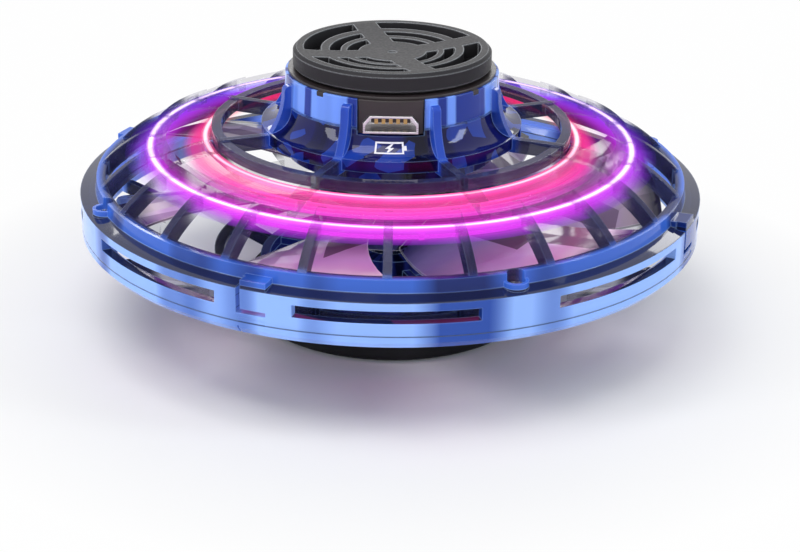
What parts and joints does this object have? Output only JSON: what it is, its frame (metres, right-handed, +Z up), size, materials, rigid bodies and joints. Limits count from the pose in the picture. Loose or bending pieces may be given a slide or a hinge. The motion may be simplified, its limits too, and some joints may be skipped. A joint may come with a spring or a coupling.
{
  "type": "flying spinner",
  "caption": "Hand-launched flying spinner: clear saucer cage with light rings round a motor-driven propeller, a lit hub with charging socket, and free-turning finger caps above and below.",
  "frame": {"origin": "centre of the foot, on the surface that the spinner stands on", "axes": "+Z up along the spin axis, -Y towards the charging socket in the hub, +X to its right"},
  "size_m": [0.09, 0.09, 0.04],
  "materials": {
    "clear_blue": "clear, polished",
    "clear_light": "clear, lit from inside",
    "blade_clear": "clear, lightly frosted",
    "black_plastic": "satin",
    "gunmetal": "satin gunmetal",
    "foot_black": "satin",
    "steel": "bright",
    "socket_steel": "tin plated",
    "gold": "gold plated",
    "board_green": "solder mask",
    "chip_black": "matte",
    "led_white": "clear resin",
    "cell_foil": "foil pouch",
    "lead_red": "insulated wire",
    "lead_blue": "insulated wire",
    "aluminium": "machined",
    "bronze": "sintered",
    "laminated_iron": "laminated",
    "copper": "enamelled copper wire",
    "bell_grey": "satin",
    "magnet_grey": "nickel plated"
  },
  "bodies": {
    "airframe": {"upper_cage": "clear_blue", "lower_cage": "clear_blue", "rim_screws": "steel", "inner_light_ring": "clear_light", "outer_light_ring": "clear_light", "core_housing": "black_plastic", "top_collar": "black_plastic", "collar_screws": "steel", "circuit_board": "board_green", "board_chips": "chip_black", "leds": "led_white", "battery": "cell_foil", "battery_leads": "lead_red", "usb_socket": "socket_steel", "usb_tongue": "black_plastic", "usb_contacts": "gold", "tact_switch": "chip_black", "motor_mount": "aluminium", "motor_bush": "bronze", "motor_stator": "laminated_iron", "motor_windings": "copper", "motor_leads": "lead_blue", "motor_screws": "steel", "top_bearing_outer": "steel", "top_bearing_balls": "steel", "bottom_bearing_outer": "steel", "bottom_bearing_balls": "steel"},
    "propeller": {"propeller": "blade_clear", "propeller_screws": "steel", "motor_bell": "bell_grey", "motor_magnets": "magnet_grey", "motor_shaft": "steel"},
    "top_cap": {"top_cap": "gunmetal", "top_axle": "steel", "top_bearing_inner": "steel"},
    "bottom_cap": {"bottom_cap": "foot_black", "bottom_axle": "steel", "bottom_bearing_inner": "steel"},
    "power_button": {"power_button": "black_plastic"}
  },
  "joints": [
    {"name": "propeller_spin", "type": "hinge", "parent": "airframe", "child": "propeller", "pos_m": [0, 0, 0.022], "axis": [0, 0, 1], "continuous": true},
    {"name": "top_cap_spin", "type": "hinge", "parent": "airframe", "child": "top_cap", "pos_m": [0, 0, 0.036], "axis": [0, 0, 1], "continuous": true},
    {"name": "bottom_cap_spin", "type": "hinge", "parent": "airframe", "child": "bottom_cap", "pos_m": [0, 0, 0.007], "axis": [0, 0, 1], "continuous": true},
    {"name": "power_button_press", "type": "slide", "parent": "airframe", "child": "power_button", "axis": [0, -1, 0], "range_m": [0, 0.0005], "stiffness_N_per_m": 1200}
  ]
}
